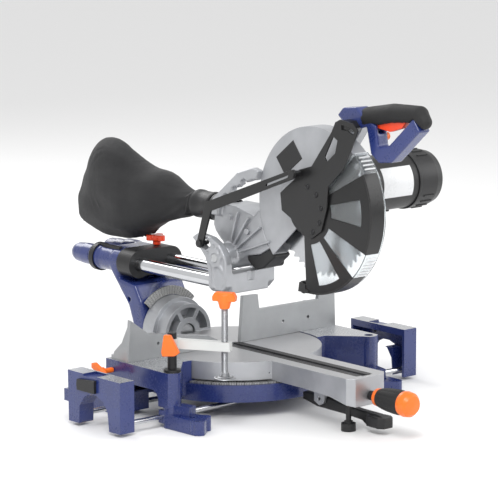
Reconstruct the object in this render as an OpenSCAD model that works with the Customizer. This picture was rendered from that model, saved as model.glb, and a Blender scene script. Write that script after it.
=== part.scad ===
// Sliding compound mitre saw for the bench.
// X is the operator's right, Y points away from the operator, Z is up.
// The origin is the centre of the four bench bolts, on the bench, under the table's pivot.
// The blade stands in the plane X = 0 and the fence faces lie in the plane Y = 0.

/* [Table] */
// Height of the table's top face
table_z = 102.6; // [98:0.2:110]
// Radius of the turntable
table_r = 165; // [155:1:170]
// Width of the table's front arm
arm_w = 94; // [84:1:100]
// Reach of the front arm from the pivot
arm_reach = 372; // [340:1:390]
// Width of the cut left free between the kerf plates
kerf_gap = 12; // [9:0.5:14]

/* [Base] */
// Half the width of the base over its two wings
base_half = 263; // [255:1:275]
// Distance of the bench bolts from the centre, sideways
bolt_x = 240; // [235:1:245]
// Distance of the bench bolts from the centre, front and back
bolt_y = 160; // [155:1:165]
// Diameter of a bench bolt hole
bolt_d = 10; // [8:0.5:12]
// Sideways place of the front corner columns
column_x = 246; // [240:1:248]
// Front-to-back place of the front corner columns
column_y = -110; // [-114:1:-106]
// Bore of the clamp sockets in the front columns
socket_d = 17.2; // [16:0.1:18]

/* [Fence] */
// Height of the fence's tall inner ear above the table
fence_ear = 89; // [70:1:92]
// Thickness of the fence face
fence_t = 8; // [6:0.5:10]

/* [Rails] */
// Diameter of a slide rail
rail_d = 26; // [24:1:28]
// Sideways distance of each rail from the blade plane
rail_x = 39.5; // [37:0.5:42]
// Height of the rails
rail_z = 228; // [226:1:232]

/* [Saw head] */
// Diameter of the saw blade
blade_d = 254; // [250:1:254]
// Number of teeth
teeth = 48; // [24:4:60]
// Height of the head's pivot
pivot_z = 277; // [275:1:280]
// Front-to-back place of the blade's centre
blade_y = -245; // [-248:1:-242]
// Height of the blade's centre with the head up
blade_z = 396; // [392:1:400]
// Outer radius of the lower guard
guard_r = 157; // [152:1:158]
// Outer radius of the upper guard
hood_r = 150; // [138:1:151]

/* [Side supports] */
// Inner face of a side support
support_x = 338; // [330:1:345]
// Diameter of a support rod
rod_d = 10; // [8:1:12]

/* [Hidden] */
$fn = 64;

blue = "#26316b";
silver = "#c9c9c6";
black = "#1c1c1e";
orange = "#ff7300";
steel = "#b5b7ba";

fit = 0.05;                     // radial clearance of a running fit
gap = 0.4;                      // clearance between faces that slide past each other
pivot_y = -11;
top_t = 7.6;                    // thickness of the table's top
slot_right = 14;                // the slot is wider on the side the blade leans to underneath
fence_z = table_z + gap;
rod_z = 20;
rod_front = -100;
rod_rear = 18;
pan_r = 180;                    // outer radius of the base's round pan
rod_in = 60;                    // inner end of a support rod
bush_front = 236;               // the rails' front bushing block, front and rear faces
bush_rear = 276;
knob_x = 25;                    // the slide lock knob
knob_y = 263;
hood_left = -22;                // left face of the upper guard
hood_right = 12;
cover_x = -46;                  // left face of the cover plate
guard_from = 134;               // the lower guard's sector, as angles from +Y towards +Z
guard_to = 275;
motor_y = -250;
motor_z = 428;
bag_x = 12;                     // the dust port's plane
port_z = 358;
clamp_z = 148;                  // underside of the clamp's arm
clamp_turn = -58;               // the arm's direction, seen from above
clamp_len = 100;

// Extrudes an outline drawn as (y, z) from x0 to x1.
module slab_x(x0, x1) translate([x0, 0, 0]) rotate([90, 0, 90]) linear_extrude(x1 - x0) children();
// Extrudes an outline drawn as (x, z) from y0 to y1.
module slab_y(y0, y1) translate([0, y1, 0]) rotate([90, 0, 0]) linear_extrude(y1 - y0) children();
// Extrudes an outline drawn as (x, y) from z0 to z1.
module slab_z(z0, z1) translate([0, 0, z0]) linear_extrude(z1 - z0) children();
module rod_along_x(x0, x1, r, y, z) slab_x(x0, x1) translate([y, z]) circle(r);
module rod_along_y(y0, y1, r, x, z) slab_y(y0, y1) translate([x, z]) circle(r);
module rod_along_z(z0, z1, r, x, y) slab_z(z0, z1) translate([x, y]) circle(r);
module box(low, high) translate(low) cube(high - low);
// Turns a profile of (radius, x) about the blade's axis, through a sector from one angle to another.
module about_blade(from, to)
    translate([0, blade_y, blade_z]) rotate([90, 0, 90]) rotate([0, 0, from])
        rotate_extrude(angle = to - from, $fn = 128) children();
module at_blade(angle, r, x) translate([x, blade_y + r * cos(angle), blade_z + r * sin(angle)]) children();
module both_sides() { children(); mirror([1, 0, 0]) children(); }
module at_clamp() translate([-column_x, column_y, 0]) rotate([0, 0, clamp_turn]) children();

// ---------------------------------------------------------------- base

module wing() {
    difference() {
        union() {
            slab_z(38, fence_z)
                polygon([[150, -60], [178, -58], [232, -116], [246, -126], [base_half, -118],
                         [base_half, 62], [150, 62]]);
            rod_along_z(0, fence_z, 16.4, column_x, column_y);
            slab_z(0, 26) polygon([[230, -120], [208, -168], [244, -198], [259, -190], [262, -112]]);
            for (p = [[216, -168], [247, -188], [250, -180]]) rod_along_z(0, 26, 10, p[0], p[1]);
            slab_z(26, 44) polygon([[232, -116], [224, -150], [246, -158], [258, -112]]);
            slab_z(0, 26) polygon([[205, 40], [base_half, 8], [266, 170], [238, 176], [222, 130]]);
            rod_along_z(0, 26, 14, 252, 166);
            box([228, 30, 20], [base_half, 62, 60]);
            box([205, rod_rear - 10, 8], [base_half, rod_rear + 10, 40]);
            box([215, rod_front - 9, 8], [base_half, rod_front + 9, 32]);
        }
        slab_z(20, 94) polygon([[157, -50], [181, -50], [226, -98], [256, -100], [256, rod_rear - 12],
                                [157, rod_rear - 12]]);
        slab_z(46, 94) box_plan([157, rod_rear - 20], [256, 55]);
        slab_x(250, 275) { box_plan([-72, 0], [6, 66]); box_plan([-90, 34], [6, 48]); translate([-72, 48]) circle(18); }
        rod_along_z(66, 110, table_r + 3.5, 0, 0);
        rod_along_z(62, fence_z + 1, socket_d / 2, column_x, column_y);
        for (y = [rod_front, rod_rear]) rod_along_x(190, 275, rod_d / 2 + fit, y, rod_z);
        for (y = [-bolt_y, bolt_y]) rod_along_z(-1, 45, bolt_d / 2, bolt_x, y);
    }
}
module box_plan(low, high) translate(low) square(high - low);

// Holes that go through the whole base.
module base_holes() {
    box([-166, 50, 34], [166, 200, 70]);
    rod_along_z(20, 70, 10, 0, 0);
    rod_along_z(20, 27, 18, 0, 0);
    for (a = [-62, -72, -82]) rotate([0, 0, a]) box([168, -6, 28], [185, 6, 38]);
    for (x = [-1, 1]) rod_along_x(x > 0 ? 40 : -190, x > 0 ? 190 : -40, rod_d / 2 + 1, rod_front, rod_z);
}
module base_pan() color(blue) difference() {
    rod_along_z(30, 62, pan_r, 0, 0);
    difference() {
        rod_along_z(20, 54, pan_r - 7, 0, 0);
        rod_along_z(19, 55, 30, 0, 0);
        for (a = [0:45:315]) rotate([0, 0, a]) box([0, -3, 19], [175, 3, 55]);
    }
    base_holes();
}
module base_wings() color(blue) difference() {
    both_sides() wing();
    rod_along_z(20, 62, pan_r, 0, 0);
    base_holes();
}

module scale_ring() color(silver) difference() {
    rod_along_z(62, 65.6, 176, 0, 0);
    rod_along_z(61, 69, 128, 0, 0);
    box([-180, -62, 60], [180, 180, 70]);
}

module table_pivot() color(steel) {
    difference() {
        union() {
            rod_along_z(27, 92, 10, 0, 0);
            rod_along_z(27 - 6, 27, 17, 0, 0);
        }
        rod_along_z(20, 24, 5, 0, 0, $fn = 6);
    }
}

function left_fence() = [[-260, fence_z], [-254, fence_z + 79], [-212, fence_z + 49], [-66, fence_z + 25],
                         [-15, fence_z]];
function right_fence() = [[14, fence_z], [21, fence_z + fence_ear], [58, fence_z + fence_ear - 1],
                          [62, fence_z + 59], [214, fence_z + 58], [220, fence_z + 87],
                          [257, fence_z + 87], [260, fence_z]];
module fence(outline, side) difference() {
    union() {
        slab_y(0, fence_t) polygon(outline);
        intersection() {
            slab_y(0, 60) polygon(outline);
            for (x = [184, 252]) slab_x(side > 0 ? x : -x - 6, side > 0 ? x + 6 : -x)
                polygon([[4, fence_z], [48, fence_z], [44, fence_z + 14], [22, fence_z + 34], [4, fence_z + 74]]);
        }
        slab_z(fence_z, fence_z + 8) polygon([[side * 184, 4], [side * 258, 4], [side * 258, 52], [side * 184, 52]]);
    }
    for (x = side > 0 ? [123, 188] : [-188]) rod_along_y(-1, fence_t + 1, 3, x, fence_z + 27);
    for (x = [200, 240]) rod_along_z(fence_z - 1, fence_z + 9, 3.5, side * x, 32);
}
module fence_left() color(silver) fence(left_fence(), -1);
module fence_right() color(silver) fence(right_fence(), 1);
module fence_screws() color(steel)
    for (x = [-240, -200, 200, 240]) {
        rod_along_z(fence_z, fence_z + 8, 3.5, x, 32);
        rod_along_z(fence_z + 8, fence_z + 13, 6, x, 32);
    }

// ---------------------------------------------------------------- turntable

module turntable() color(silver) difference() {
    union() {
        rod_along_z(68, table_z, table_r, 0, 0);
        intersection() {
            slab_x(-arm_w / 2, arm_w / 2)
                polygon([[-100, 66], [-237, 66], [-318, 62], [-358, 54], [-arm_reach, 50],
                         [-arm_reach, table_z], [-100, table_z]]);
            slab_z(40, 120) polygon([[-arm_w / 2, 0], [-arm_w / 2, 12 - arm_reach], [12 - arm_w / 2, -arm_reach],
                                     [arm_w / 2 - 12, -arm_reach], [arm_w / 2, 12 - arm_reach], [arm_w / 2, 0]]);
        }
        slab_z(70, 97) polygon([[-52, 100], [52, 100], [56, 190], [-56, 190]]);
        rod_along_y(138, 165, 57, 0, table_z);
        rod_along_y(165, 197, 66, 0, table_z);
        for (x = [-8, 16]) slab_x(x, x + 6) polygon([[-232, 70], [-232, 34], [-246, 28], [-258, 34], [-262, 70]]);
    }
    difference() {
        rod_along_z(60, table_z - top_t, table_r - 8, 0, 0);
        rod_along_z(59, table_z, 34, 0, 0);
        box([-56, 100, 59], [56, 200, table_z]);
        for (a = [20, 160, 200, 340]) rotate([0, 0, a]) box([0, -3, 59], [170, 3, table_z]);
    }
    difference() {
        box([-40, 8 - arm_reach, 45], [40, -60, table_z - top_t]);
        rod_along_z(40, 110, 12, -22, -340);
        box([-9, -263, 40], [23, -231, table_z]);
    }
    rod_along_z(40, table_z - top_t, 10 + fit, 0, 0);
    box([-9, 10 - arm_reach, table_z - 12], [slot_right, 14, table_z + 1]);
    box([-20, 14 - arm_reach, table_z - 3], [20, 10, table_z + 1]);
    rod_along_y(130, 200, 10, 0, table_z);
    rod_along_y(130, 150, 18, 0, table_z);
    slab_y(130, 160) difference() {
        translate([0, table_z]) circle(49);
        translate([0, table_z]) circle(30);
        for (a = [0:60:120]) translate([0, table_z]) rotate(a) square([120, 8], center = true);
    }
    rod_along_y(-arm_reach - 1, 12 - arm_reach, 5 + fit, 0, 68);
    rod_along_z(40, 94, 5 + fit, -22, -340);
    rod_along_x(-12, 26, 3 + fit, -246, 40);
    for (x = [-52, 40]) rod_along_x(x, x + 12, 4, -153, 80);
}

module kerf_strip(side) difference() {
    box([side > 0 ? kerf_gap / 2 : -20, 14 - arm_reach, table_z - 3],
        [side > 0 ? 20 : -kerf_gap / 2, 10, table_z]);
    for (y = kerf_rows()) rod_along_z(table_z - 2, table_z + 1, 3, side * 15.5, y);
}
function kerf_rows() = [-55, -200, -335];
module kerf_plates() color("#3a3a3c") { kerf_strip(-1); kerf_strip(1); }
module kerf_screws() color(black)
    for (x = [-15.5, 15.5], y = kerf_rows()) rod_along_z(table_z - 2, table_z, 3, x, y);

module detent_lever() color(black) difference() {
    union() {
        slab_x(-1, 15)
            polygon([[-193, 44], [-193, 30], [-232, 22], [-300, 21], [-352, 18], [-366, 10], [-392, 9],
                     [-414, 21], [-415, 31], [-392, 35], [-340, 36], [-290, 40], [-236, 46]]);
        slab_z(12, 32) polygon([[-9, -372], [23, -372], [25, -404], [18, -414], [-4, -414], [-11, -404]]);
    }
    rod_along_x(-12, 26, 3 + fit, -246, 40);
}

module levelling_foot() color(black) {
    rod_along_z(6, 82, 5, -22, -340);
    rod_along_z(0, 14, 13.5, -22, -340);
    rod_along_z(14, 18, 8, -22, -340);
}

module handle_shaft() color(black) {
    rod_along_y(-440, 10 - arm_reach, 5, 0, 68);
    rod_along_y(-389, -arm_reach - 3, 9, 0, 68);
}
// A profile of (distance from the table's pivot, radius) turned about the handle's axis.
module handle_turned(profile) translate([0, 0, 68]) rotate([90, 0, 0]) rotate_extrude() polygon(profile);
module handle_grip() color(black)
    handle_turned([[5, 401], [17, 401], [19.5, 410], [22, 432], [23, 452], [22, 461], [5, 461]]);
module handle_ends() color(orange) {
    handle_turned([[5, 389], [12, 389], [16, 393], [17, 401], [5, 401]]);
    handle_turned([[0, 461], [22.5, 461], [23.5, 468], [22, 478], [17, 484], [0, 486]]);
}

// ---------------------------------------------------------------- bevel arm

module bevel_pin() color(steel) {
    rod_along_y(150, 262, 10, 0, table_z);
    rod_along_y(142, 150, 16, 0, table_z);
}

module yoke() color(blue) difference() {
    union() {
        intersection() {
            slab_x(-62, 62)
                polygon([[198, 40], [231, 40], [231, 111], [246, 149], [277, 184], [302, 212], [302, 250],
                         [bush_rear, 250], [bush_rear, 197], [226, 190], [206, 158], [198, 130]]);
            slab_y(190, 310) {
                translate([0, table_z]) circle(61);
                polygon([[-61, table_z], [61, table_z], [58, 180], [62, 205], [62, 240], [50, 252],
                         [-50, 252], [-62, 240], [-62, 205], [-66, 160]]);
            }
        }
        for (x = [-rail_x, rail_x]) {
            rod_along_y(bush_rear, 372, 23, x, rail_z);
            rod_along_y(344, 372, 25, x, rail_z);
        }
        box([-rail_x, bush_rear, rail_z - 12], [rail_x, 330, rail_z + 24]);
    }
    for (x = [-rail_x, rail_x]) rod_along_y(190, 380, rail_d / 2 + fit, x, rail_z);
    rod_along_y(190, 310, 10 + fit, 0, table_z);
    slab_x(-48, 48) polygon([[214, 120], [240, 150], [262, 184], [240, 184], [214, 150]]);
    rod_along_x(-70, -40, 5, 246, 160);
}

module bevel_scale() color(silver) translate([0, 198, table_z]) rotate([90, 0, 0]) rotate([0, 0, 41])
    rotate_extrude(angle = 96, $fn = 128) polygon([[67, 0], [84, 0], [84, 4], [67, 4]]);

module front_bushing() color(black) difference() {
    slab_y(bush_front, bush_rear) {
        for (x = [-rail_x, rail_x]) translate([x, rail_z]) circle(27.5);
        box_plan([-rail_x, rail_z - 24], [rail_x, rail_z + 27.5]);
    }
    for (x = [-rail_x, rail_x]) rod_along_y(200, 290, rail_d / 2 + fit, x, rail_z);
    rod_along_z(rail_z + 14, rail_z + 30, 4 + fit, knob_x, knob_y);
}

module cable_band() color(black) difference() {
    union() {
        rod_along_y(352, 364, 28, -rail_x, rail_z);
        box([-48, 290, rail_z + 20], [-40, 356, rail_z + 27.5]);
    }
    rod_along_y(343.9, 372, 25, -rail_x, rail_z);
    rod_along_y(270, 343.9, 23, -rail_x, rail_z);
}

module bevel_lever() color(black) difference() {
    union() {
        rod_along_y(243, 260, 15, 0, table_z);
        slab_y(246, 256) polygon([[-8, table_z], [8, table_z], [60, 54], [74, 38], [64, 30], [48, 44]]);
        rod_along_y(236, 256, 11, 67, 36);
    }
    rod_along_y(225, 262.4, 10 + fit, 0, table_z);
}

module slide_knob() color("#e8380c") {
    rod_along_z(rail_z + 16, rail_z + 40, 4, knob_x, knob_y);
    rod_along_z(rail_z + 28.5, rail_z + 38, 8, knob_x, knob_y);
    slab_z(rail_z + 37, rail_z + 48) translate([knob_x, knob_y]) {
        circle(12);
        for (a = [30, 150, 270]) rotate(a) translate([13, 0]) circle(8);
    }
}

// ---------------------------------------------------------------- slide carriage

module slide_rails() color(steel)
    for (x = [-rail_x, rail_x]) rod_along_y(-36, 416, rail_d / 2, x, rail_z);

module rail_caps() color(blue)
    for (x = [-rail_x, rail_x]) translate([x, 0, rail_z]) rotate([-90, 0, 0]) rotate_extrude()
        polygon([[rail_d / 2, 376], [21, 376], [21, 400], [19, 424], [16, 432], [0, 436], [0, 416], [rail_d / 2, 416]]);

module ear(x0, x1) slab_x(x0, x1) difference() {
    polygon([[52, 309], [37, 319], [0, 315], [-24, 304], [-40, 286], [-46, 269], [-46, 226], [-32, 211],
             [4, 211], [6, 250], [14, 276], [30, 291]]);
    polygon([[34, 310], [4, 308], [-2, 300], [14, 290], [24, 295]]);
}
// The pockets between the ribs of an ear's outer face.
module ear_pockets(x0, x1) slab_x(x0, x1) {
    polygon([[-29, 218], [-10, 218], [-10, 258], [-22, 262], [-40, 246], [-40, 227]]);
    polygon([[-5, 218], [-1, 218], [1, 250], [7, 270], [-1, 262], [-5, 258]]);
    polygon([[-40, 253], [-27, 266], [-30, 276], [-35, 284], [-40, 268]]);
    polygon([[-30, 289], [-25, 282], [-17, 294], [-20, 300]]);
    polygon([[-11, 298], [-3, 296], [-8, 304], [-14, 302]]);
    polygon([[7, 282], [12, 286], [3, 291], [4, 287]]);
}
module carriage() color(silver) difference() {
    union() {
        ear(-62, -45);
        ear(43, 60);
        box([-46, -46, 211], [44, -38, 250]);
        box([-46, -46, 211], [44, 4, 246]);
    }
    for (x = [-rail_x, rail_x]) rod_along_y(-37, 10, rail_d / 2, x, rail_z);
    rod_along_x(-70, 70, 8, pivot_y, pivot_z);
    translate([-62, 0, 220]) rotate([0, 45, 0]) box([-20, -60, -20], [20, 60, 0]);
    rod_along_x(-63, -44, 4 + fit, 25, 314 - 13);
    box([-8, -47, 232], [8, -42, 250]);
    rod_along_x(42, 61, 5 + fit, -34, 258);
    ear_pockets(-63, -58);
}

module pivot_shaft() color(steel) {
    rod_along_x(-61, 60, 8, pivot_y, pivot_z);
    rod_along_x(60, 66, 13, pivot_y, pivot_z, $fn = 6);
}

module head_lock_pin() color(black) {
    rod_along_x(43, 70, 5, -34, 258);
    rod_along_x(70, 86, 10, -34, 258);
}

// ---------------------------------------------------------------- saw head

module head_arm() color(silver) difference() {
    union() {
        rod_along_x(-44.4, 42.4, 25, pivot_y, pivot_z);
        slab_x(hood_left, 38)
            polygon([[4, 296], [30, 318], [36, 330], [34, 352], [10, 374], [-30, 374], [-78, 362], [-104, 384],
                     [-110, 440], [-128, 446], [-150, 330], [-189, 341], [-95, 290], [-58, 283], [-34, 268],
                     [-20, 254], [10, 262]]);
        slab_x(13, 38) polygon([[-78, 362], [-106, 372], [-110, 420], [-180, 440], [-240, 440], [-262, 396], [-238, 352],
                                [-189, 341], [-95, 290], [-58, 283]]);
        slab_x(13, 34) polygon([[-200, 440], [-250, 436], [-330, 543], [-346, 568], [-310, 575], [-290, 552]]);
        slab_x(-34, -18) difference() {
            polygon([[34, 352], [28, 382], [-44, 440], [-88, 454], [-112, 448], [-112, 428], [-92, 432],
                     [-50, 416], [8, 368], [10, 352]]);
            for (i = [0:2]) translate([-4 - 26 * i, 386 + 17 * i]) rotate(145) box_plan([0, -4], [15, 4]);
        }
    }
    difference() {
        about_blade(-180, 180) polygon([[0, -60], [hood_r + 1, -60], [hood_r + 1, 12.6], [0, 12.6]]);
        box([-60, pivot_y - 60, 200], [-22, 60, 500]);
    }
    about_blade(-180, 180) polygon([[0, 12], [26, 12], [26, 40], [0, 40]]);
    rod_along_x(-46, 44, 8 + fit, pivot_y, pivot_z);
    rod_along_y(6, 40, 22, bag_x, port_z);
}

module under_cover() color(black) difference() {
    slab_x(-20, 20) polygon([[-58, 283], [-60, 274], [-66, 270], [-82, 259], [-104, 266], [-130, 286],
                             [-146, 302], [-142, 315], [-95, 290]]);
    about_blade(-180, 180) polygon([[0, -30], [hood_r + 1, -30], [hood_r + 1, 30], [0, 30]]);
}

module gearcase() color(silver) difference() {
    union() {
        about_blade(-180, 180) polygon([[0, 12.6], [0, 58], [34, 58], [40, 50], [40, 38.4], [25, 38.4], [25, 12.6]]);
        rod_along_x(38.4, 58, 46, motor_y, motor_z);
    }
    about_blade(-180, 180) polygon([[0, 5], [8 + fit, 5], [8 + fit, 54], [0, 54]]);
}

module upper_guard() color(silver)
    about_blade(-42, guard_from) polygon([[27, hood_left], [hood_r, hood_left], [hood_r, hood_right],
        [27, hood_right], [27, hood_right - 2.5], [hood_r - 2.5, hood_right - 2.5],
        [hood_r - 2.5, hood_left + 2.5], [27, hood_left + 2.5]]);

module cover_plate() color(black) difference() {
    union() {
        slab_x(cover_x, cover_x + 3) difference() {
            polygon([[-230, 366], [-205, 378], [-184, 388], [-180, 420], [-222, 452], [-230, 468],
                     [-264, 478], [-316, 545], [-326, 564], [-338, 570], [-370, 566], [-384, 554], [-366, 517], [-346, 480],
                     [-308, 446],
                     [-304, 404], [-290, 362], [-262, 344], [-240, 350]]);
            polygon([[-320, 538], [-332, 532], [-326, 508], [-304, 490], [-298, 498]]);
            polygon([[-342, 561], [-360, 560], [-376, 551], [-372, 546], [-358, 551], [-342, 552]]);
        }
        about_blade(-180, 180) polygon([[16, cover_x + 3], [24, cover_x + 3], [24, -35], [16, -35]]);
        for (a = [-4, 20]) rod_along_x(cover_x + 3, hood_left, 5, blade_y + 52 * cos(a), blade_z + 52 * sin(a));
        slab_x(cover_x + 3, -17) polygon([[-324, 548], [-322, 560], [-334, 568], [-350, 567], [-362, 556], [-352, 548]]);
    }
    for (a = screw_angles()) rod_along_x(cover_x - 1, cover_x + 4, 3, blade_y + 44 * cos(a), blade_z + 44 * sin(a));
}
function screw_angles() = [100, 135, 170, 205, 240];
module cover_screws() color(steel) for (a = screw_angles()) {
    rod_along_x(cover_x, cover_x + 3, 3, blade_y + 44 * cos(a), blade_z + 44 * sin(a));
    rod_along_x(cover_x - 2.4, cover_x, 5, blade_y + 44 * cos(a), blade_z + 44 * sin(a));
}

// A rounded bar between two points of the handle's plane.
module limb(a, b, ra, rb) hull() {
    translate([0, a[0], a[1]]) sphere(ra, $fn = 24);
    translate([0, b[0], b[1]]) sphere(rb, $fn = 24);
}
// The handle's moulded core, which the soft grip wraps.
module handle_core() {
    slab_x(-17, 12.6) polygon([[-330, 549], [-300, 572], [-314, 587], [-350, 591], [-370, 576], [-352, 552]]);
    slab_x(-14, 14) polygon([[-352, 552], [-372, 558], [-384, 510], [-404, 496], [-436, 500], [-506, 562],
                             [-490, 584], [-430, 530], [-402, 525], [-396, 562], [-360, 576]]);
}
module trigger_slot() slab_x(-7, 7)
    polygon([[-472, 585], [-384, 581], [-384, 548], [-424, 545], [-458, 556], [-472, 566]]);
module handle_frame() color(blue) difference() {
    handle_core();
    trigger_slot();
    rod_along_x(10, 15, 7.4, -388, 540);
}
module handle_rubber() color(black) difference() {
    union() {
        limb([-366, 573], [-430, 586], 19, 18);
        limb([-430, 586], [-494, 590], 18, 16);
        limb([-494, 588], [-506, 578], 16, 13);
    }
    handle_core();
    trigger_slot();
}
module trigger() color("#e8380c") slab_x(-6, 6)
    polygon([[-390, 574], [-391, 557], [-424, 553], [-454, 562], [-464, 574]]);
module lock_button() color(orange) rod_along_x(14.4, 24, 7, -388, 540);

module dust_port() color(black) difference() {
    union() {
        rod_along_y(8, 100, 22, bag_x, port_z);
        rod_along_y(40, 62, 26, bag_x, port_z);
    }
    rod_along_y(7, 101, 19, bag_x, port_z);
}

module dust_bag() color("#111112") {
    difference() {
        rod_along_y(66, 118, 27, bag_x, port_z);
        rod_along_y(65, 104, 22.4, bag_x, port_z);
    }
    hull() {
        slab_y(117, 119) translate([bag_x, port_z]) circle(26, $fn = 32);
        slab_y(236, 238) translate([bag_x, 364]) circle(50, $fn = 32);
        slab_x(bag_x - 44, bag_x + 44) polygon([[266, 304], [290, 297], [306, 280], [340, 267], [425, 277], [484, 292], [494, 318],
            [470, 372], [440, 430], [418, 448], [390, 462], [359, 455], [300, 432], [268, 420]]);
    }
}

module brush_seats() for (z = [-52, 52]) translate([150, motor_y, motor_z + z]) cylinder(r = 9, h = 5, center = true);
module motor_housing() color(black) difference() {
    union() {
        rod_along_x(58, 66, 50, motor_y, motor_z);
        rod_along_x(66, 196, 52, motor_y, motor_z);
    }
    brush_seats();
}
module motor_end_cap() color(black) difference() {
    translate([196, motor_y, motor_z]) rotate([0, 90, 0]) rotate_extrude($fn = 96)
        polygon([[0, 0], [54, 0], [54, 40], [50, 56], [38, 64], [0, 66]]);
    for (a = [0:45:315]) translate([250, motor_y, motor_z]) rotate([a, 0, 0]) box([-2, 22, -3], [20, 34, 3]);
}
module brush_caps() color("#2a2a2c") brush_seats();

// ---------------------------------------------------------------- blade and lower guard

module saw_blade() color(steel) translate([-1.3, blade_y, blade_z]) rotate([90, 0, 90])
    linear_extrude(2.6) difference() {
        polygon([for (i = [0:teeth - 1]) each [
            (blade_d / 2) * [cos(i * 360 / teeth), sin(i * 360 / teeth)],
            (blade_d / 2 - 8) * [cos((i + 0.12) * 360 / teeth), sin((i + 0.12) * 360 / teeth)],
            (blade_d / 2 - 8) * [cos((i + 0.35) * 360 / teeth), sin((i + 0.35) * 360 / teeth)],
            (blade_d / 2 - 1) * [cos((i + 0.85) * 360 / teeth), sin((i + 0.85) * 360 / teeth)]]]);
        circle(8);
    }
module spindle() color(steel) difference() {
    about_blade(-180, 180) polygon([[0, -12], [8, -12], [8, 1.3], [22, 1.3], [22, 5], [8, 5], [8, 53], [0, 53]]);
    about_blade(-180, 180) polygon([[0, -13], [4, -13], [4, 4], [0, 4]]);
}
module arbor_bolt() color(steel) difference() {
    union() {
        about_blade(-180, 180) polygon([[8, -1.3], [22, -1.3], [22, -5], [20, -7], [8, -7]]);
        about_blade(-180, 180) polygon([[0, 3], [4, 3], [4, -12], [12, -12], [12, -18], [0, -18]]);
    }
    translate([-19, blade_y, blade_z]) rotate([0, 90, 0]) cylinder(r = 4.6, h = 4, $fn = 6);
}

guard_hub = 45;
// The guard's side is a shallow cone from the hub out to the rim.
function cone_x(r) = -26 - 15 * (guard_r - r) / (guard_r - guard_hub);
module guard_shell() color("#b9c2c4", 0.5) about_blade(guard_from, guard_to)
    polygon([[guard_r, 8], [guard_r, cone_x(guard_r)], [guard_hub, cone_x(guard_hub)],
             [guard_hub, cone_x(guard_hub) + 2], [guard_r - 3, cone_x(guard_r) + 2], [guard_r - 3, 8]]);
// Cuts the star's windows: a sector of the cone between two angles and two radii.
module window(from, to, r0, r1) about_blade(from, to) polygon([[r0, -60], [r1, -60], [r1, -20], [r0, -20]]);
module guard_star() color(black) difference() {
    union() {
        about_blade(-180, 180) polygon([[24 + fit, -42.6], [guard_hub, -42.6], [guard_hub, -37], [24 + fit, -37]]);
        about_blade(guard_from, guard_to)
            polygon([[40, -41], [guard_hub, -41], [guard_r, -26], [guard_r, -27.5], [guard_hub, -42.5], [40, -42.5]]);
        translate([0, blade_y, blade_z]) rotate([90, 0, 90]) rotate([0, 0, 280]) translate([0, 0, -30])
            linear_extrude(3) polygon([[150.5, -20], [156, -20], [160, 6], [142, 6], [142, -11], [150.5, -11.5]]);
        at_blade(280, 151, -30) rotate([0, 90, 0]) cylinder(r = 3, h = 21);
    }
    window(guard_from - 1, 150, 62, 160);
    window(166, 187, 64, 134);
    window(205, 226, 64, 160);
    window(237, 261, 64, 140);
}
module guard_roller() color(black) difference() {
    at_blade(280, 151, -23.6) rotate([0, 90, 0]) cylinder(r = 12, h = 13);
    at_blade(280, 151, -24) rotate([0, 90, 0]) cylinder(r = 3 + fit, h = 20);
}

module guard_link() color(black) {
    difference() {
        slab_x(-66.4, -62.4) difference() {
            union() {
                polygon([[33, 302], [17, 300], [-9, 372], [8, 382]]);
                polygon([[4, 383], [-9, 367], [-238, 454], [-232, 470]]);
                translate([25, 301]) circle(8.5);
                translate([-1, 374]) circle(10);
                translate([-235, 462]) circle(8.5);
            }
            polygon([[-164, 436.5], [-162, 431.5], [-222, 454.5], [-224, 459.5]]);
        }
        rod_along_x(-70, -60, 4, 25, 301);
    }
    rod_along_x(-68.4, -45.6, 4, 25, 301);
    rod_along_x(-70, -66.4, 7, 25, 301);
    rod_along_x(-69.4, -66.4, 7, -235, 462);
    rod_along_x(-62.4, -50, 6, -235, 462);
}

// ---------------------------------------------------------------- clamp

module clamp_post() color(black) {
    rod_along_z(64, 176, 8.5, -column_x, column_y);
    rod_along_z(fence_z + gap, fence_z + 5, 16, -column_x, column_y);
}
module clamp_arm() color("#e9e9e6") at_clamp() difference() {
    union() {
        box([-14, -8, clamp_z], [clamp_len + 12, 8, clamp_z + 17]);
        box([-14, -12, clamp_z], [14, 12, clamp_z + 17]);
    }
    rod_along_z(140, 170, 8.5, 0, 0);
    rod_along_z(140, 170, 6 + fit, clamp_len, 0);
    rod_along_y(-13, -8.5, 3 + fit, 0, clamp_z + 8.5);
}
module clamp_wing() color(orange) at_clamp() {
    rod_along_y(-14, -9, 3, 0, clamp_z + 8.5);
    rod_along_y(-22, -12.5, 8, 0, clamp_z + 8.5);
    slab_y(-28, -18) polygon([[-7, clamp_z + 28], [5, clamp_z + 28], [22, clamp_z - 4], [14, clamp_z - 10],
                              [-10, clamp_z - 12], [-12, clamp_z - 4]]);
}
module clamp_screw() color(steel) at_clamp() translate([clamp_len, 0, 0]) {
    rod_along_z(108, 240, 6, 0, 0);
    rotate_extrude() polygon([[0, 97], [20, 97], [20, 99], [9, 102], [8, 108], [0, 108]]);
}
module clamp_knob() color(orange) at_clamp() translate([clamp_len, 0, 0]) difference() {
    union() {
        rotate_extrude() polygon([[0, 226], [9, 226], [12, 238], [12, 252], [0, 254]]);
        slab_y(-8, 8) polygon([[-21, 240], [21, 240], [22, 248], [17, 256], [-17, 256], [-22, 248]]);
    }
    rod_along_z(220, 240, 6, 0, 0);
}

// ---------------------------------------------------------------- side supports

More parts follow.
